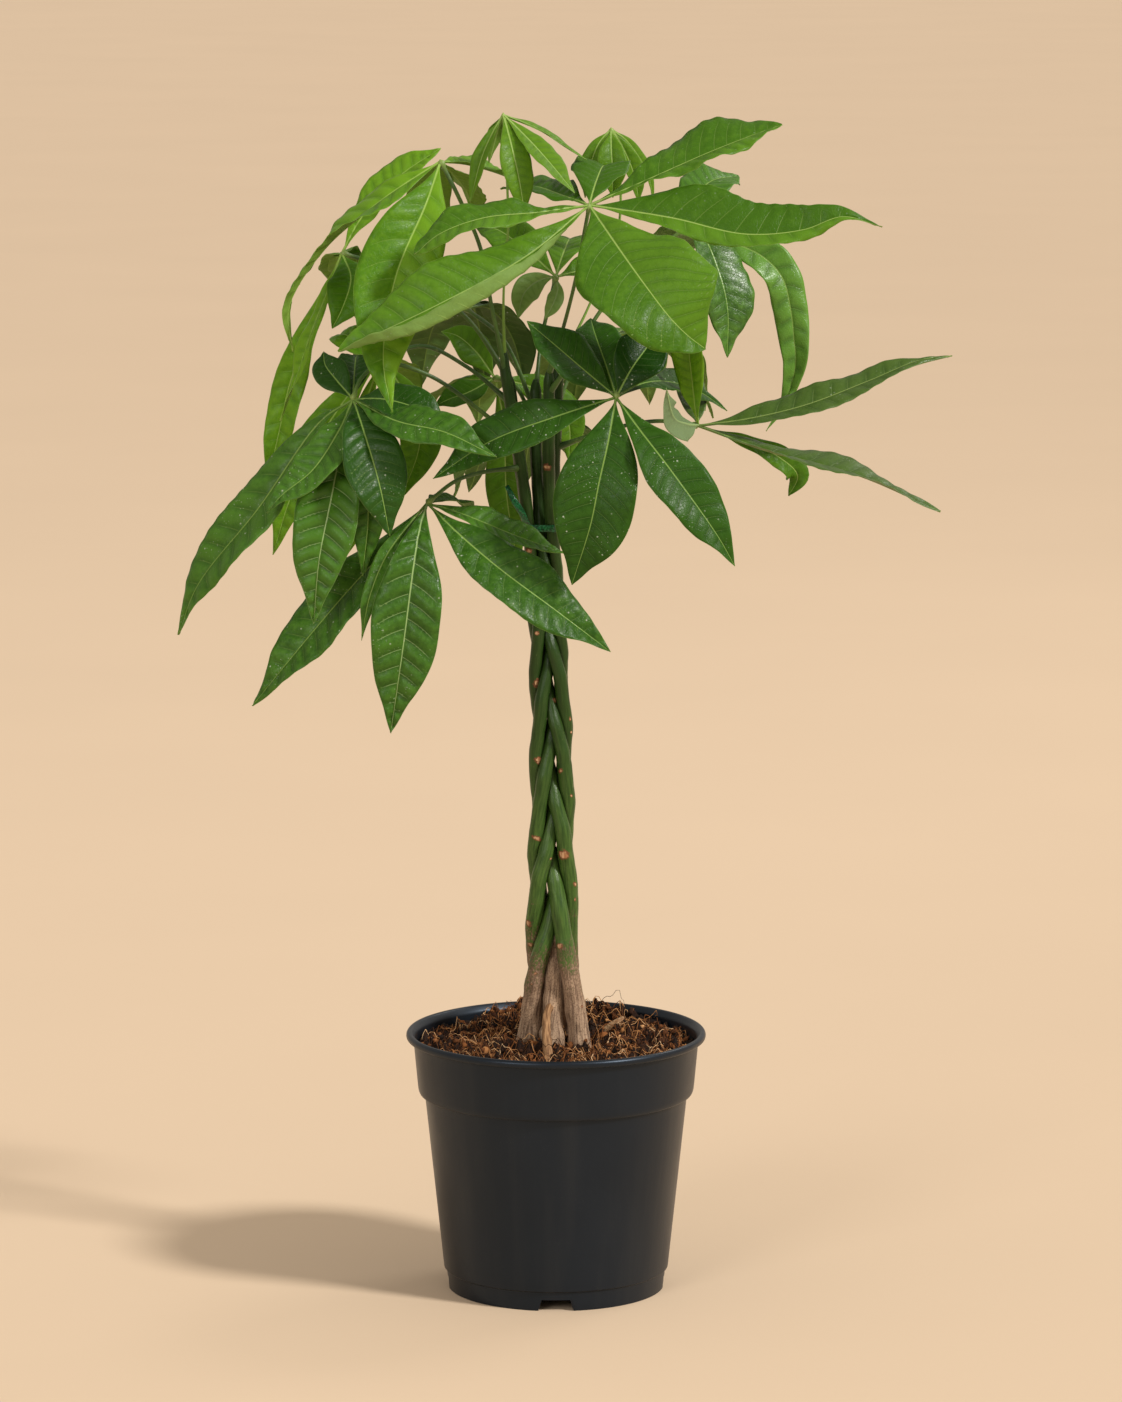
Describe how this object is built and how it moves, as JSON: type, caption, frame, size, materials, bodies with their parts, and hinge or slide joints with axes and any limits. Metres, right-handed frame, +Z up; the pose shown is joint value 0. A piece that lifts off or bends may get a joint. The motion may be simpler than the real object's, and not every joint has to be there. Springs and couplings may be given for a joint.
{
  "type": "potted money tree",
  "caption": "House plant with thin plaited trunks, palmate leaves and a round tapered nursery pot filled with coir, standing on the pot's foot.",
  "frame": {"origin": "on the pot's axis, in the plane that the pot stands on", "axes": "+Z up along the pot's axis and the trunks, -Y towards the plant's front, +X to its right"},
  "size_m": [0.5328, 0.349, 0.8262],
  "materials": {
    "pot_plastic": "satin, moulded",
    "coir": "loose fibrous potting soil",
    "bark": "smooth green bark, brown at the foot",
    "dry_bark": "dry, rough",
    "leaf": "living leaf, satin gloss",
    "young_leaf": "young living leaf, satin gloss",
    "tie_wire": "glossy coated wire"
  },
  "bodies": {
    "root": {"pot": "pot_plastic", "soil": "coir", "twist_tie": "tie_wire", "bark_chip": "dry_bark", "stem_left": "bark", "stem_rear_right": "bark", "stem_right": "bark", "stem_middle": "bark", "stem_rear_left": "bark", "leaf_high_front": "leaf", "leaf_high_left": "leaf", "leaf_young_top": "young_leaf", "leaf_young_right": "young_leaf", "leaf_right_back": "leaf", "leaf_front": "leaf", "leaf_right": "leaf", "leaf_left": "leaf", "leaf_low_left": "leaf", "leaf_outer_left": "leaf", "leaf_mid_left": "leaf", "leaf_inner_low": "leaf", "leaf_inner_high": "leaf", "leaf_rear_right": "leaf", "leaf_rear_left": "leaf", "leaf_rear_low": "leaf"}
  },
  "joints": []
}
